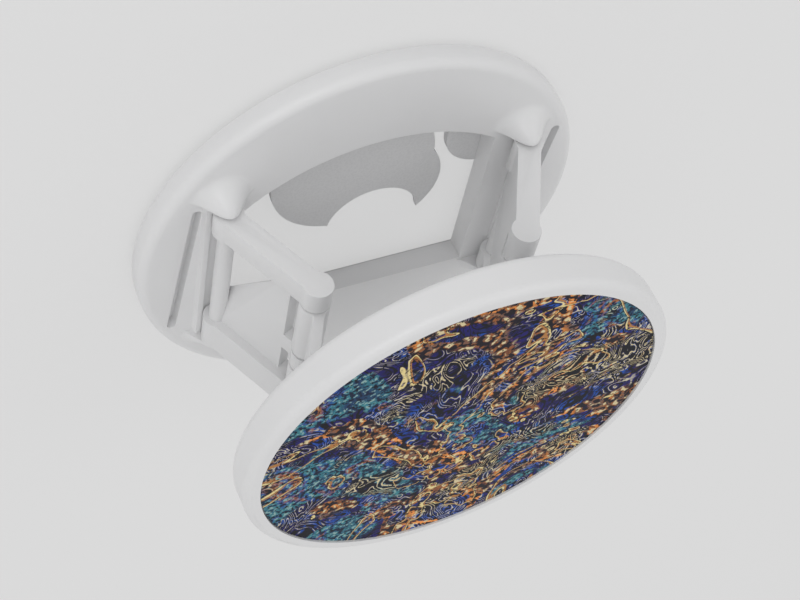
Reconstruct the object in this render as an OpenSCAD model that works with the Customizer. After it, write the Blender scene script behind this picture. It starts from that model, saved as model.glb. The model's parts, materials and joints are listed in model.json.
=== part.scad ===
// Folding phone grip: a round stick-on base, two pairs of hinged legs and a round top with a printed insert.
// Millimetres. Origin at the centre of the sticking face, +Z towards the print, hinges along Y.
// The grip is drawn open. Left is +X, right is -X; the right side is the left one turned half a turn.

/* [Base] */
// diameter of the base
base_d = 40; // [36:0.5:44]
// thickness of the base plate
base_t = 2; // [1.6:0.1:2.4]
// radius of the soft front edge of the base
base_edge = 0.9; // [0.4:0.1:1.4]
// distance of a slit from the rim, at its middle
wing_w = 3.8; // [3.6:0.1:4.2]
// width of the slit
slit_w = 0.8; // [0.6:0.1:1]
// depth of the slit
slit_depth = 1; // [0.6:0.1:1.4]
// length of the slit
slit_len = 16; // [13:0.2:16.2]
// turn of the slit away from the hinge line
slit_turn = 5.5; // [0:0.5:6]
// distance of the hinge line from the middle of its slit
hinge_inset = 2.8; // [2.7:0.1:3.2]
// distance of the window's left edge from the left hinge line
sill_left = 1; // [0.9:0.1:2]
// distance of the window's right edge from the right hinge line
sill_right = 2.4; // [1.8:0.1:3]
// distance of the window's straight edge from the middle
window_far = 8.8; // [8:0.1:10]
// distance of the window's arched edge from the middle
window_near = 11.5; // [10.5:0.1:12]
// radius of the arched edge
window_arc_r = 17.6; // [16.5:0.1:19]
// how far the arch is shifted to the right
window_arc_shift = 0.9; // [0:0.1:1.2]

/* [Adhesive pad] */
// diameter of the pad
pad_d = 38; // [34:0.5:39]
// thickness of the pad
pad_t = 0.6; // [0.4:0.1:1]
// how far the pad stands back from the window
pad_back = 0.8; // [0.4:0.1:1.2]
// depth of the strip of pad that shows along the arched edge
pad_strip = 2.2; // [1.6:0.1:2.6]

/* [Hinges] */
// height of the hinge line above the front of the base
hinge_lift = 1.5; // [1.45:0.05:1.8]
// length of a leg from hinge to hinge
leg_len = 9.45; // [8.6:0.05:10.6]
// lean of an open leg from upright
lean = 27; // [22:0.5:32]
// radius of the hinge barrels
barrel_r = 1.25; // [1.1:0.05:1.3]
// radius of the hinge pins
pin_r = 0.4; // [0.35:0.05:0.45]
// wall of a base lug over its pin
lug_cover = 0.4; // [0.35:0.05:0.8]
// how far the soft foot of a base lug spreads
lug_spread = 2.8; // [2.4:0.1:3.4]
// length of a base pin inside its lug
pin_grip = 0.6; // [0.5:0.05:0.8]
// height of the ridge behind the hinge, above the base
ridge_h = 0.5; // [0.3:0.1:0.8]
// thickness of the walls that carry the top pins
crown_lug_t = 1.9; // [1.4:0.1:2]

/* [Legs] */
// width of a lower leg along its hinge
lower_w = 17.6; // [16.6:0.1:18]
// width of its near arm
near_w = 2.2; // [1.8:0.1:2.6]
// width of its far arm
far_w = 3.4; // [2.6:0.1:3.8]
// thickness of a leg behind its hinge line
leg_back = 0.9; // [0.7:0.05:0.95]
// thickness of an arm in front of its hinge line
arm_front = 1.05; // [0.8:0.05:1.1]
// thickness of the web in front of the hinge line
web_front = 0.25; // [0:0.05:0.3]
// radius of the slim tube between the arms, round the base pin
tube_r = 0.75; // [0.7:0.05:0.9]
// height of the triangular window at the near arm, above the base hinge
window_head = 6.5; // [5.4:0.1:6.6]
// how far the back of the web reaches along the tube
gusset = 3.3; // [2:0.1:4]
// distance from the web's upper edge to the knee barrels
knee_notch = 1; // [0.8:0.1:1.4]
// place of the middle knuckle of a knee
knuckle_y = 0.5; // [0:0.1:1]
// width of that knuckle
knuckle_w = 1.8; // [1.4:0.1:2.2]

/* [Top] */
// distance of the edge of the hinge frame from the hinge line
frame_wall = 3.5; // [3.4:0.1:4]
// thickness of the rim round the hinge frame
rim_wall = 1.5; // [1:0.1:2]
// width of the rim's face round the print
rim_w = 1.4; // [1:0.1:2]
// height of the rim
rim_h = 3.2; // [2.8:0.1:3.4]
// radius of the rim's edges
rim_edge = 0.7; // [0.4:0.1:0.9]
// thickness of the print
print_t = 0.2; // [0.15:0.05:0.4]
// how far the rim stands above the print
rim_lip = 0.15; // [0.1:0.05:0.3]
// thickness of the film under the print
tape_t = 0.15; // [0.1:0.05:0.2]
// thickness of the floor that carries the print
floor_t = 0.6; // [0.5:0.1:1]
// thickness of the hinge frame under the floor
frame_t = 1.1; // [0.9:0.1:1.2]

/* [Fits] */
// gap between a leg and the part beside it along the hinge
side_gap = 0.3; // [0.2:0.05:0.4]
// gap round a turning barrel
swing_gap = 0.25; // [0.2:0.05:0.35]
// how much smaller the middle knuckle is than the barrels beside it
knuckle_relief = 0.05; // [0.03:0.01:0.1]
// gap round the leg ends in the ridge of the base
ridge_gap = 0.15; // [0.12:0.01:0.2]
// radial gap of a pin in the part that turns on it
pin_gap = 0.05; // [0.03:0.01:0.06]
// gap round a disc that lies in the rim
disc_gap = 0.1; // [0.05:0.05:0.15]
// depth of a pin's end under the face of what holds it
pin_sink = 0.4; // [0.3:0.1:0.6]

/* [Hidden] */
base_top = pad_t + base_t;
base_r = base_d / 2;
slit_x = base_r - wing_w;
hinge_x = slit_x - hinge_inset;
hinge_z = base_top + hinge_lift;
window_left = hinge_x - sill_left;
window_right = hinge_x - sill_right;
lower_half = lower_w / 2;
near_in = -lower_half + near_w;
far_in = lower_half - far_w;
upper_near = near_in + side_gap;
upper_far = far_in - side_gap;
lug_in = lower_half + side_gap;
lug_top = hinge_z + pin_r + lug_cover;
knee_x = hinge_x - leg_len * sin(lean);
knee_z = hinge_z + leg_len * cos(lean);
crown_z = hinge_z + 2 * leg_len * cos(lean);
web_end = leg_len - barrel_r - knee_notch;
knuckle_end = knuckle_y + knuckle_w;
floor_low = crown_z + barrel_r + swing_gap;
floor_top = floor_low + floor_t;
frame_low = floor_low - frame_t;
top_z = floor_top + tape_t + print_t + rim_lip;
frame_r = hinge_x + frame_wall;
top_r = frame_r + disc_gap + rim_wall;
print_r = top_r - rim_w;
pad_lobes = [[0.8, -5.8, 7.4], [-2, -2.3, 5.8], [-11.9, -7.3, 4.3]];
pad_notch = [-1.9, 2.2, 4.3];
lap = 0.2;
cut = 0.5;
deep = 60;
$fn = 96;

// a bar along Y with its axis at x, z, from y0 to y1
module rod(x, z, r, y0, y1) {
    translate([x, y0, z])
        rotate([-90, 0, 0])
            cylinder(r = r, h = y1 - y0);
}

// a profile drawn in x and z, drawn out along Y from y0 to y1
module along_y(y0, y1) {
    translate([0, y1, 0])
        rotate([90, 0, 0])
            linear_extrude(height = y1 - y0)
                children();
}

// puts a part of a left leg, drawn upright on its lower hinge, into its open place
module at_hinge(z, turn) {
    translate([hinge_x, 0, z])
        rotate([0, turn, 0])
            children();
}

// both sides: as drawn, and turned half a turn about Z
module both_sides() {
    children();
    rotate([0, 0, 180])
        children();
}

// outline of the window: one straight edge and one arched edge
module window_shape() {
    arc_mid = window_arc_r - window_near;
    intersection() {
        translate([-window_right, -base_r])
            square([window_right + window_left, base_r + window_far]);
        union() {
            translate([-window_arc_shift, arc_mid])
                circle(r = window_arc_r, $fn = 180);
            translate([-window_right, arc_mid])
                square([window_right + window_left, base_r]);
        }
    }
}

// outline of one slit, round at both ends
module slit_shape() {
    slot_r = slit_w / 2;
    translate([slit_x, 0])
        rotate(-slit_turn) {
            translate([-slot_r, -slit_len / 2 + slot_r])
                square([slit_w, slit_len - slit_w]);
            for (side = [-1, 1])
                translate([0, side * (slit_len / 2 - slot_r)])
                    circle(r = slot_r, $fn = 24);
        }
}

module base_plate() {
    groove_r = barrel_r + ridge_gap;
    pin_end = lug_in + pin_grip;
    difference() {
        union() {
            rotate_extrude($fn = 180)
                base_profile();
            both_sides()
                hinge_ridge();
            both_sides()
                base_lugs();
        }
        translate([0, 0, -cut])
            linear_extrude(height = deep)
                window_shape();
        both_sides()
            translate([0, 0, base_top - slit_depth])
                linear_extrude(height = deep)
                    slit_shape();
        both_sides()
            rod(hinge_x, hinge_z, groove_r, -lug_in, lug_in);
        both_sides()
            rod(hinge_x, hinge_z, pin_r, -pin_end, pin_end);
    }
}

// the ridge between the slit and the leg, hollowed for the barrel
module hinge_ridge() {
    ridge_out = slit_x - slit_w / 2 - slit_len / 2 * sin(slit_turn);
    ridge_foot = 0.2;
    along_y(-lug_in - lap, lug_in + lap)
        polygon([
            [hinge_x, base_top - cut],
            [ridge_out, base_top - cut],
            [ridge_out, base_top],
            [ridge_out - ridge_foot, base_top + ridge_h],
            [hinge_x, base_top + ridge_h]
        ]);
}

// the two lugs of the left leg: each is half of a soft mound that stands beyond an end of the leg
module base_lugs() {
    steps = 12;
    rise = lug_top - base_top;
    difference() {
        intersection() {
            for (end = [-lug_in, lug_in])
                translate([hinge_x, end, 0])
                    rotate_extrude($fn = 72)
                        polygon([
                            [0, base_top - cut],
                            [lug_spread, base_top - cut],
                            for (i = [steps : -1 : 0])
                                [lug_spread * i / steps, base_top + rise / 2 * (1 + cos(180 * i / steps))]
                        ]);
            translate([0, 0, base_top - cut])
                cylinder(r = base_r - base_edge, h = deep, $fn = 180);
        }
        translate([0, -lug_in, 0])
            cube([deep, 2 * lug_in, deep]);
    }
}

// half section of the base: square at the back, soft at the front edge
module base_profile() {
    translate([0, pad_t])
        square([base_r - base_edge, base_t]);
    translate([0, pad_t])
        square([base_r, base_t - base_edge]);
    intersection() {
        translate([base_r - base_edge, base_top - base_edge])
            circle(r = base_edge, $fn = 48);
        square([deep, deep]);
    }
}

// the pad: cut away under the window but for scalloped lobes along the arched edge
module adhesive_pad() {
    open_left = window_left + pad_back;
    open_right = window_right + pad_back;
    linear_extrude(height = pad_t) {
        difference() {
            circle(r = pad_d / 2, $fn = 180);
            translate([-open_right, -window_near - pad_back])
                square([open_right + open_left, window_near + window_far + 2 * pad_back]);
        }
        difference() {
            union() {
                for (lobe = pad_lobes)
                    translate([lobe[0], lobe[1]])
                        circle(r = lobe[2]);
                translate([-open_right, -window_near - pad_back - lap])
                    square([open_right + open_left, pad_strip + pad_back + lap]);
            }
            translate([pad_notch[0], pad_notch[1]])
                circle(r = pad_notch[2], $fn = 64);
        }
    }
}

// side view of an arm: a flat bar with a barrel at each end
module arm_shape() {
    for (end = [0, leg_len])
        translate([0, end])
            circle(r = barrel_r, $fn = 48);
    translate([-leg_back, 0])
        square([leg_back + arm_front, leg_len]);
}

// the slanted web of a lower leg: its free edge runs from the tube at the far arm up to the near arm
module leg_web() {
    skin = 0.01;
    web_foot = 0.4;
    far_end = far_in + lap;
    near_end = near_in - lap;
    hull() {
        web_layer(web_front - skin, skin, [
            [far_end, web_foot],
            [near_end, window_head],
            [near_end, web_end],
            [far_end, web_end]
        ]);
        web_layer(-leg_back, skin, [
            [far_end, 0],
            [far_in - gusset, 0],
            [near_end, web_end - skin],
            [near_end, web_end],
            [far_end, web_end]
        ]);
    }
}

// one thin layer of the web, drawn in y and height, at x
module web_layer(x, thick, points) {
    translate([x, 0, 0])
        rotate([90, 0, 90])
            linear_extrude(height = thick)
                polygon(points);
}

module lower_leg() {
    pin_end = lower_half - pin_sink;
    knuckle_r = barrel_r - knuckle_relief;
    difference() {
        union() {
            along_y(-lower_half, near_in)
                arm_shape();
            along_y(far_in, lower_half)
                arm_shape();
            rod(0, 0, tube_r, near_in - lap, far_in + lap);
            leg_web();
            rod(0, leg_len, knuckle_r, knuckle_y, knuckle_end);
            translate([-leg_back, knuckle_y, web_end - lap])
                cube([leg_back + web_front, knuckle_w, leg_len - web_end + lap]);
        }
        rod(0, 0, pin_r + pin_gap, -lower_half - cut, lower_half + cut);
        rod(0, leg_len, pin_r, -pin_end, pin_end);
    }
}

module upper_leg() {
    difference() {
        union() {
            for (z = [0, leg_len])
                rod(0, z, barrel_r, upper_near, upper_far);
            translate([-leg_back, upper_near, 0])
                cube([leg_back, upper_far - upper_near, leg_len]);
        }
        rod(0, 0, barrel_r + swing_gap, knuckle_y - side_gap, knuckle_end + side_gap);
        for (z = [0, leg_len])
            rod(0, z, pin_r + pin_gap, upper_near - cut, upper_far + cut);
    }
}

module left_lower_leg() {
    at_hinge(hinge_z, -lean)
        lower_leg();
}

module right_lower_leg() {
    rotate([0, 0, 180])
        left_lower_leg();
}

module left_upper_leg() {
    translate([knee_x, 0, knee_z])
        rotate([0, lean, 0])
            upper_leg();
}

module right_upper_leg() {
    rotate([0, 0, 180])
        left_upper_leg();
}

module left_base_pin() {
    rod(hinge_x, hinge_z, pin_r, -lug_in - pin_grip, lug_in + pin_grip);
}

module left_knee_pin() {
    rod(knee_x, knee_z, pin_r, -lower_half + pin_sink, lower_half - pin_sink);
}

module left_top_pin() {
    near_end = upper_near - side_gap - crown_lug_t;
    far_end = upper_far + side_gap + crown_lug_t;
    rod(hinge_x, crown_z, pin_r, near_end + pin_sink, far_end - pin_sink);
}

module top_frame() {
    near_face = upper_near - side_gap;
    far_face = upper_far + side_gap;
    pin_near = near_face - crown_lug_t + pin_sink;
    pin_far = far_face + crown_lug_t - pin_sink;
    difference() {
        union() {
            translate([0, 0, frame_low])
                cylinder(r = frame_r, h = frame_t, $fn = 120);
            intersection() {
                cylinder(r = frame_r, h = deep, $fn = 120);
                both_sides()
                    for (end = [near_face - crown_lug_t, far_face])
                        along_y(end, end + crown_lug_t) {
                            translate([hinge_x, crown_z])
                                circle(r = barrel_r, $fn = 48);
                            translate([hinge_x - barrel_r, crown_z])
                                square([2 * barrel_r, frame_low + cut - crown_z]);
                        }
            }
        }
        both_sides()
            translate([-cut, near_face, frame_low - cut])
                cube([hinge_x + barrel_r + swing_gap + cut, far_face - near_face, deep]);
        both_sides()
            rod(hinge_x, crown_z, pin_r, pin_near, pin_far);
    }
}

module top_cover() {
    skirt_in = frame_r + disc_gap;
    low = top_z - rim_h;
    rotate_extrude($fn = 180)
        difference() {
            union() {
                translate([0, low])
                    square([top_r - rim_edge, rim_h]);
                translate([0, low + rim_edge])
                    square([top_r, rim_h - 2 * rim_edge]);
                for (z = [low + rim_edge, top_z - rim_edge])
                    translate([top_r - rim_edge, z])
                        circle(r = rim_edge, $fn = 48);
            }
            translate([-cut, floor_top])
                square([print_r + disc_gap + cut, deep]);
            translate([-cut, low - cut])
                square([skirt_in + cut, floor_low - low + cut]);
            translate([-deep, -cut])
                square([deep, deep]);
        }
}

module insert_tape() {
    film_inset = 0.6;
    translate([0, 0, floor_top])
        cylinder(r = print_r - film_inset, h = tape_t, $fn = 120);
}

module print_disc() {
    translate([0, 0, floor_top + tape_t])
        cylinder(r = print_r, h = print_t, $fn = 180);
}

color("WhiteSmoke") base_plate();
color("DimGray") adhesive_pad();
color("Silver") left_base_pin();
color("Silver") rotate([0, 0, 180]) left_base_pin();  // right_base_pin
color("WhiteSmoke") left_lower_leg();
color("WhiteSmoke") right_lower_leg();
color("Silver") left_knee_pin();
color("Silver") rotate([0, 0, 180]) left_knee_pin();  // right_knee_pin
color("WhiteSmoke") left_upper_leg();
color("WhiteSmoke") right_upper_leg();
color("Silver") left_top_pin();
color("Silver") rotate([0, 0, 180]) left_top_pin();  // right_top_pin
color("WhiteSmoke") top_frame();
color("WhiteSmoke") top_cover();
color("LightGray") insert_tape();
color("MidnightBlue") print_disc();
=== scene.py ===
"""Folding phone grip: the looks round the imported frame. Metres, in the row frame, +Z towards the print."""
import json
import math

import bmesh
import bpy
from mathutils import Matrix, Vector


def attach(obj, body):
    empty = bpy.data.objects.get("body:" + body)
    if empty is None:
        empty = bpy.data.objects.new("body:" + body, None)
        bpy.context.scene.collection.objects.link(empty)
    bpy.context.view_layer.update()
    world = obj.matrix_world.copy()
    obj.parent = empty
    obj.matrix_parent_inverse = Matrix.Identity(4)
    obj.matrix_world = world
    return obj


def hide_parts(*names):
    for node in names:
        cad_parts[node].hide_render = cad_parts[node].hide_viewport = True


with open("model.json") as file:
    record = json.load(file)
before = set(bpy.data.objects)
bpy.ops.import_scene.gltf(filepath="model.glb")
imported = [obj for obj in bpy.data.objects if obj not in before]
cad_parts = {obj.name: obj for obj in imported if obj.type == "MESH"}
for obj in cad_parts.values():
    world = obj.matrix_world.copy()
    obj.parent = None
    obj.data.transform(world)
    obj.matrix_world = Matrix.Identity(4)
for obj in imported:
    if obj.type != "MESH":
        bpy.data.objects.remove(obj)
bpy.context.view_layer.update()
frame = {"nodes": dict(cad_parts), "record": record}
nodes = frame["nodes"]
MM = 0.001

# the photograph's camera: where it stands, which way is up in the picture, and what it looks at
EYE = Vector((0.04848, -0.11622, 0.0791))
UP = Vector((-0.2044, -0.656, -0.7266))
AIM = Vector((-0.0003, 0.0005, 0.0103))
LENS = 77.0
SENSOR = 36.0

# rounding of the moulded edges: widths and steps, the angles over which an edge is rounded and
# stays sharp, the angle under which neighbouring faces are one, and the distance that is welded
LEG_EDGE = 0.16 * MM
SHELL_EDGE = 0.12 * MM
EDGE_STEPS = 3
EDGE_ANGLE = math.radians(32)
SHARP_ANGLE = math.radians(28)
FLAT_ANGLE = math.radians(0.6)
WELD = 0.004 * MM

# the floor: half its width, and the even grey that makes up a share of it where it is seen
# directly, in a reflection or through something clear
FLOOR_HALF = 3.0
FLOOR_GREY = 0.70
FLOOR_SHARE = 0.72

# the light: name, place, power and width of each lamp, what they point at, and the world's strength
LAMPS = (
    ("key", (0.40, -0.75, 0.60), 1.9, 0.7),
    ("side", (1.0, -0.35, 0.35), 0.35, 0.7),
    ("fill", (-0.7, -0.5, 0.8), 0.8, 0.8),
)
LAMP_AIM = Vector((0, 0, 0.01))
WORLD_LIGHT = 0.67


def make_camera():
    """The photograph's angle: the grip is seen obliquely, and its print faces down the picture."""
    data = bpy.data.cameras.new("camera")
    data.lens = LENS
    data.sensor_width = SENSOR
    cam = bpy.data.objects.new("camera", data)
    bpy.context.scene.collection.objects.link(cam)
    back = (EYE - AIM).normalized()
    right = UP.cross(back).normalized()
    up = back.cross(right)
    turn = Matrix((right, up, back)).transposed().to_4x4()
    cam.matrix_world = Matrix.Translation(EYE) @ turn
    bpy.context.scene.camera = cam


make_camera()


class Mat:
    """A node material with short calls for its nodes."""

    def __init__(self, name, color, rough, **sockets):
        self.m = bpy.data.materials.new(name)
        self.m.use_nodes = True
        self.nt = self.m.node_tree
        self.b = self.nt.nodes["Principled BSDF"]
        self.b.inputs["Base Color"].default_value = (*color, 1)
        self.b.inputs["Roughness"].default_value = rough
        for key, value in sockets.items():
            self.b.inputs[key.replace("_", " ")].default_value = value
        self.coord = self.nt.nodes.new("ShaderNodeTexCoord")

    def node(self, kind, **props):
        n = self.nt.nodes.new("ShaderNode" + kind)
        for key, value in props.items():
            setattr(n, key, value)
        return n

    def link(self, a, b):
        self.nt.links.new(a, b)

    def noise(self, scale, detail=2.0, rough=0.5, distort=0.0):
        n = self.node("TexNoise")
        n.inputs["Scale"].default_value = scale
        n.inputs["Detail"].default_value = detail
        n.inputs["Roughness"].default_value = rough
        n.inputs["Distortion"].default_value = distort
        self.link(self.coord.outputs["Object"], n.inputs["Vector"])
        return n

    def ramp(self, source, stops):
        r = self.node("ValToRGB")
        while len(r.color_ramp.elements) < len(stops):
            r.color_ramp.elements.new(0.5)
        for e, (at, color) in zip(r.color_ramp.elements, stops):
            e.position = at
            e.color = (*color, 1)
        self.link(source, r.inputs["Fac"])
        return r.outputs["Color"]

    def mix(self, a, b, factor, blend="MIX"):
        n = self.node("Mix", data_type="RGBA", blend_type=blend)
        for key, value in (("Factor", factor), ("A", a), ("B", b)):
            sock = [s for s in n.inputs if s.name == key and s.enabled][0]
            if isinstance(value, (int, float)):
                sock.default_value = value
            elif isinstance(value, tuple):
                sock.default_value = (*value, 1)
            else:
                self.link(value, sock)
        return [s for s in n.outputs if s.enabled][0]

    def bump(self, height, strength, distance):
        n = self.node("Bump")
        n.inputs["Strength"].default_value = strength
        n.inputs["Distance"].default_value = distance
        self.link(height, n.inputs["Height"])
        self.link(n.outputs["Normal"], self.b.inputs["Normal"])

    def paint(self, color):
        self.link(color, self.b.inputs["Base Color"])

    def roughen(self, value):
        self.link(value, self.b.inputs["Roughness"])


def plastic(name, color, rough, grain):
    """Moulded white plastic: a fine spark-eroded grain, slight colour drift and handling haze."""
    w = Mat(name, color, rough, IOR=1.49)
    drift = w.noise(60, 3)
    low = tuple(c * 0.965 for c in color)
    w.paint(w.ramp(drift.outputs["Fac"], [(0.35, low), (0.7, color)]))
    haze = w.noise(350, 4, 0.6)
    glossy, dull = rough - 0.06, rough + 0.08
    w.roughen(w.ramp(haze.outputs["Fac"], [(0.3, (glossy,) * 3), (0.75, (dull,) * 3)]))
    fine = w.noise(9000, 2, 0.5)
    w.bump(fine.outputs["Fac"], grain, 0.00002)
    return w.m


def foam():
    w = Mat("adhesive_foam", (0.67, 0.67, 0.675), 0.75)
    cells = w.node("TexVoronoi")
    cells.inputs["Scale"].default_value = 4200
    w.link(w.coord.outputs["Object"], cells.inputs["Vector"])
    w.paint(w.ramp(cells.outputs["Distance"], [(0.0, (0.65, 0.65, 0.655)), (0.7, (0.70, 0.70, 0.705))]))
    w.bump(cells.outputs["Distance"], 0.15, 0.00003)
    return w.m


def steel():
    w = Mat("pin_steel", (0.62, 0.62, 0.63), 0.24, Metallic=1.0)
    drawn = w.noise(3000, 2)
    w.roughen(w.ramp(drawn.outputs["Fac"], [(0.3, (0.18,) * 3), (0.7, (0.34,) * 3)]))
    w.bump(drawn.outputs["Fac"], 0.15, 0.00001)
    return w.m


def film():
    w = Mat("clear_film", (0.85, 0.84, 0.80), 0.3)
    n = w.noise(500, 2)
    w.paint(w.ramp(n.outputs["Fac"], [(0.3, (0.82, 0.81, 0.76)), (0.7, (0.88, 0.87, 0.83))]))
    return w.m


def card():
    """A generic marbled print: fields of indigo, copper and teal under fine ringed lines, with specks."""
    w = Mat("printed_card", (0.05, 0.08, 0.3), 0.42, IOR=1.45)
    w.b.inputs["Specular IOR Level"].default_value = 0.12
    black, white, cream = (0.003, 0.003, 0.008), (1, 1, 1), (0.74, 0.62, 0.36)

    def band(source, *stops):
        return w.ramp(source, [(at, white if on else (0, 0, 0)) for at, on in stops])

    def grain(scale, detail=2.0, distort=0.0):
        return w.noise(scale, detail, 0.55, distort).outputs["Fac"]

    def both(one, two):
        return w.mix(one, two, 1.0, "MULTIPLY")

    def rings(source, count):
        """Fine lines that run round the hills of a noise field, as in marbled paper."""
        steps = (("MULTIPLY_ADD", count, 0.0), ("SINE", None, None), ("MULTIPLY_ADD", 0.5, 0.5))
        for kind, by, plus in steps:
            n = w.node("Math", operation=kind)
            w.link(source, n.inputs[0])
            if by is not None:
                n.inputs[1].default_value = by
                n.inputs[2].default_value = plus
            source = n.outputs[0]
        return source

    field = grain(62, 3, 1.6)
    patch = grain(240, 3, 1.2)
    dots = grain(1500, 1)
    fine = grain(2300, 2)
    swirl = rings(grain(190, 2, 1.6), 95)

    indigo = w.ramp(patch, [
        (0.36, (0.008, 0.006, 0.060)), (0.46, (0.014, 0.010, 0.160)), (0.52, (0.008, 0.008, 0.070)),
        (0.57, (0.012, 0.085, 0.430)), (0.66, (0.008, 0.025, 0.200))])
    indigo = w.mix(indigo, black, band(swirl, (0.20, 1), (0.38, 0)))
    indigo = w.mix(indigo, (0.66, 0.60, 0.46), both(
        band(swirl, (0.90, 0), (0.97, 1)), band(grain(330, 2), (0.46, 0), (0.54, 1))))

    copper = w.ramp(patch, [
        (0.36, (0.110, 0.040, 0.035)), (0.44, (0.340, 0.115, 0.030)), (0.50, (0.150, 0.100, 0.090)),
        (0.55, (0.480, 0.165, 0.035)), (0.62, (0.950, 0.340, 0.080))])
    copper = w.mix(copper, (0.012, 0.007, 0.014), band(dots, (0.50, 0), (0.55, 1)))
    copper = w.mix(copper, cream, band(dots, (0.37, 1), (0.41, 0)))

    teal = w.ramp(patch, [
        (0.36, (0.012, 0.050, 0.130)), (0.45, (0.025, 0.150, 0.220)), (0.52, (0.050, 0.240, 0.280)),
        (0.57, (0.015, 0.090, 0.330)), (0.64, (0.380, 0.130, 0.040))])
    teal = w.mix(teal, (0.006, 0.014, 0.045), band(fine, (0.52, 0), (0.58, 1)))
    teal = w.mix(teal, (0.270, 0.440, 0.430), band(fine, (0.38, 1), (0.42, 0)))

    color = w.mix(teal, indigo, band(field, (0.405, 0), (0.425, 1)))
    color = w.mix(color, copper, band(field, (0.498, 0), (0.508, 1), (0.585, 1), (0.597, 0)))

    ink = rings(grain(260, 2, 1.0), 120)
    inked = band(grain(130, 2), (0.55, 0), (0.58, 1))
    color = w.mix(color, black, both(band(ink, (0.45, 1), (0.60, 0)), inked))
    color = w.mix(color, cream, both(band(ink, (0.86, 0), (0.94, 1)), inked))

    sweep = grain(70, 2, 2.8)
    color = w.mix(color, black, band(sweep, (0.536, 0), (0.540, 1), (0.544, 1), (0.547, 0)))
    color = w.mix(color, (0.86, 0.70, 0.32), band(sweep, (0.547, 0), (0.550, 1), (0.558, 1), (0.562, 0)))
    color = w.mix(color, (0.48, 0.21, 0.06), band(sweep, (0.562, 0), (0.566, 1), (0.575, 1), (0.580, 0)))
    color = w.mix(color, black, band(grain(2900, 2), (0.58, 0), (0.63, 1)))
    w.paint(color)
    return w.m


MATERIALS = {
    "white_shell": plastic("white_shell", (0.80, 0.80, 0.805), 0.34, 0.25),
    "white_leg": plastic("white_leg", (0.78, 0.78, 0.785), 0.40, 0.35),
    "adhesive_foam": foam(),
    "pin_steel": steel(),
    "clear_film": film(),
    "printed_card": card(),
}

slots = {p["node"]: p["material_slot"] for p in frame["record"]["subparts"]}
for name, obj in nodes.items():
    obj.data.materials.clear()
    obj.data.materials.append(MATERIALS[slots[name]])


def soften(name, body, width):
    """The CAD node's own shape with its edges rounded off as a moulding's are."""
    mesh = nodes[name].data.copy()
    obj = bpy.data.objects.new(name + "_moulded", mesh)
    bpy.context.scene.collection.objects.link(obj)
    bm = bmesh.new()
    bm.from_mesh(mesh)
    bmesh.ops.remove_doubles(bm, verts=bm.verts, dist=WELD)
    bmesh.ops.dissolve_limit(bm, angle_limit=FLAT_ANGLE, verts=bm.verts, edges=bm.edges)
    bm.to_mesh(mesh)
    bm.free()
    bevel = obj.modifiers.new("edges", "BEVEL")
    bevel.width = width
    bevel.segments = EDGE_STEPS
    bevel.limit_method = "ANGLE"
    bevel.angle_limit = EDGE_ANGLE
    for poly in mesh.polygons:
        poly.use_smooth = True
    dg = bpy.context.evaluated_depsgraph_get()
    obj.update_tag()
    done = bpy.data.meshes.new_from_object(obj.evaluated_get(dg))
    obj.modifiers.clear()
    obj.data = done
    obj.data.set_sharp_from_angle(angle=SHARP_ANGLE)
    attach(obj, body)
    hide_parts(name)


for side in ("left", "right"):
    for part in ("lower", "upper"):
        soften(f"{side}_{part}_leg", f"{side}_{part}", LEG_EDGE)
soften("base_plate", "base", SHELL_EDGE)
soften("top_frame", "top", SHELL_EDGE)


def stage_and_light():
    """A plain pale floor and plain soft light."""
    corners = [(x * FLOOR_HALF, y * FLOOR_HALF, 0) for x, y in ((-1, -1), (1, -1), (1, 1), (-1, 1))]
    mesh = bpy.data.meshes.new("floor")
    mesh.from_pydata(corners, [], [(0, 1, 2, 3)])
    floor = bpy.data.objects.new("floor", mesh)
    bpy.context.scene.collection.objects.link(floor)
    w = Mat("floor", (0.90, 0.90, 0.902), 0.7)
    path = w.node("LightPath")
    seen = path.outputs["Is Camera Ray"]
    for ray in ("Is Glossy Ray", "Is Transmission Ray"):
        either = w.node("Math", operation="MAXIMUM")
        w.link(seen, either.inputs[0])
        w.link(path.outputs[ray], either.inputs[1])
        seen = either.outputs[0]
    part = w.node("Math", operation="MULTIPLY")
    part.inputs[1].default_value = FLOOR_SHARE
    w.link(seen, part.inputs[0])
    glow = w.node("Emission")
    glow.inputs["Color"].default_value = (FLOOR_GREY, FLOOR_GREY, FLOOR_GREY, 1)
    both = w.node("MixShader")
    w.link(part.outputs[0], both.inputs[0])
    w.link(w.b.outputs[0], both.inputs[1])
    w.link(glow.outputs[0], both.inputs[2])
    w.link(both.outputs[0], w.nt.nodes["Material Output"].inputs["Surface"])
    floor.data.materials.append(w.m)

    for name, place, power, width in LAMPS:
        data = bpy.data.lights.new(name, "AREA")
        data.energy = power
        data.size = width
        lamp = bpy.data.objects.new(name, data)
        lamp.location = place
        lamp.rotation_euler = (LAMP_AIM - Vector(place)).to_track_quat("-Z", "Y").to_euler()
        bpy.context.scene.collection.objects.link(lamp)

    world = bpy.data.worlds.new("world")
    world.use_nodes = True
    sky = world.node_tree.nodes["Background"]
    sky.inputs["Color"].default_value = (1, 1, 1, 1)
    sky.inputs["Strength"].default_value = WORLD_LIGHT
    bpy.context.scene.world = world


stage_and_light()
bpy.context.scene.view_settings.view_transform = "Standard"
